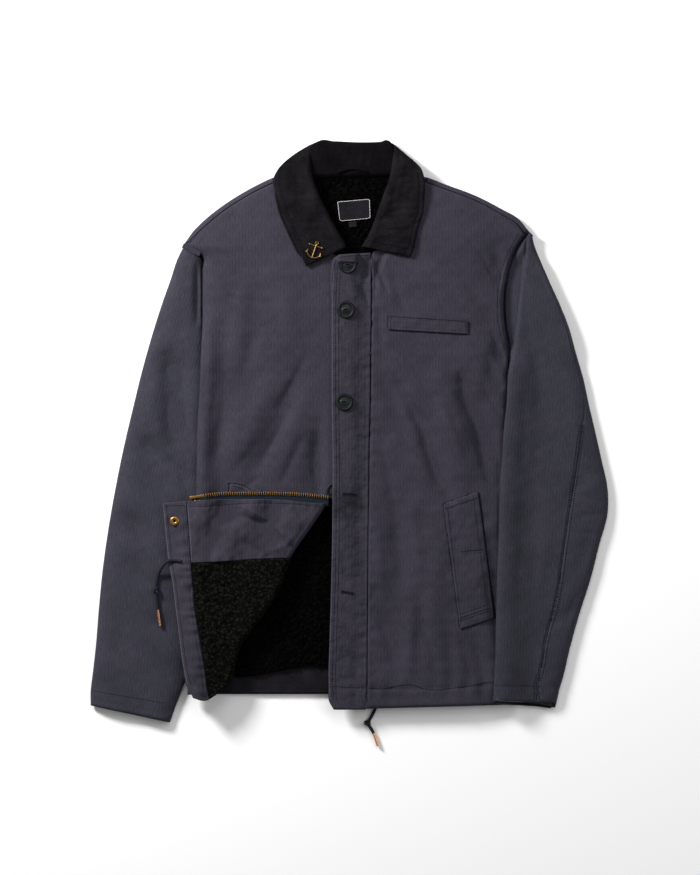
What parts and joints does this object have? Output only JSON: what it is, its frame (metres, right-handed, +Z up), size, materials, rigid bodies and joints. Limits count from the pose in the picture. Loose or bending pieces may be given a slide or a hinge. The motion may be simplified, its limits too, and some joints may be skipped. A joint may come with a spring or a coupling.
{
  "type": "deck jacket laid flat",
  "caption": "Hip-length deck jacket laid flat on its back, felt fall collar, buttoned fly placket, welt pockets, pile lining, one lower front corner turned out.",
  "frame": {"origin": "on the table, under the middle of the jacket without its drawcord", "axes": "+Y toward the collar, +X toward the wearer's left sleeve, +Z up off the table, so the fronts face +Z"},
  "size_m": [0.6962, 0.8177, 0.0331],
  "materials": {
    "shell_cloth": "ribbed cotton, matt",
    "sleeve_cloth": "ribbed cotton, matt",
    "facing_cloth": "ribbed cotton, matt",
    "pile": "curled pile",
    "collar_felt": "milled felt, matt",
    "label_cloth": "woven satin",
    "zip_tape": "woven tape",
    "cord": "braided",
    "button_plastic": "half matt",
    "brass": "aged brass",
    "cord_tip": "dull tip"
  },
  "bodies": {
    "root": {"back": "shell_cloth", "front_left": "shell_cloth", "front_right": "shell_cloth", "placket_left": "shell_cloth", "front_right_turned": "shell_cloth", "chest_welt": "shell_cloth", "pocket_welt_left": "shell_cloth", "pocket_welt_right": "shell_cloth", "sleeve_right_upper": "sleeve_cloth", "sleeve_right_under": "sleeve_cloth", "sleeve_left_upper": "sleeve_cloth", "sleeve_left_under": "sleeve_cloth", "facing_right": "facing_cloth", "hem_facing_right": "facing_cloth", "hem_facing_back": "facing_cloth", "lining_back": "pile", "lining_right": "pile", "collar_leaf_right": "collar_felt", "collar_leaf_left": "collar_felt", "collar_back": "collar_felt", "under_collar_right": "collar_felt", "hang_loop": "collar_felt", "label": "label_cloth", "size_tab": "label_cloth", "zip_tape_right": "zip_tape", "zip_teeth_right": "brass", "zip_pin_right": "brass", "eyelet": "brass", "anchor_pin": "brass", "button_1": "button_plastic", "button_2": "button_plastic", "button_3": "button_plastic", "button_4": "button_plastic", "drawcord_right": "cord", "drawcord_left": "cord", "knot_right": "cord", "knot_left": "cord", "tail_right": "cord", "tail_left": "cord", "tip_right": "cord_tip", "tip_left": "cord_tip"}
  },
  "joints": []
}
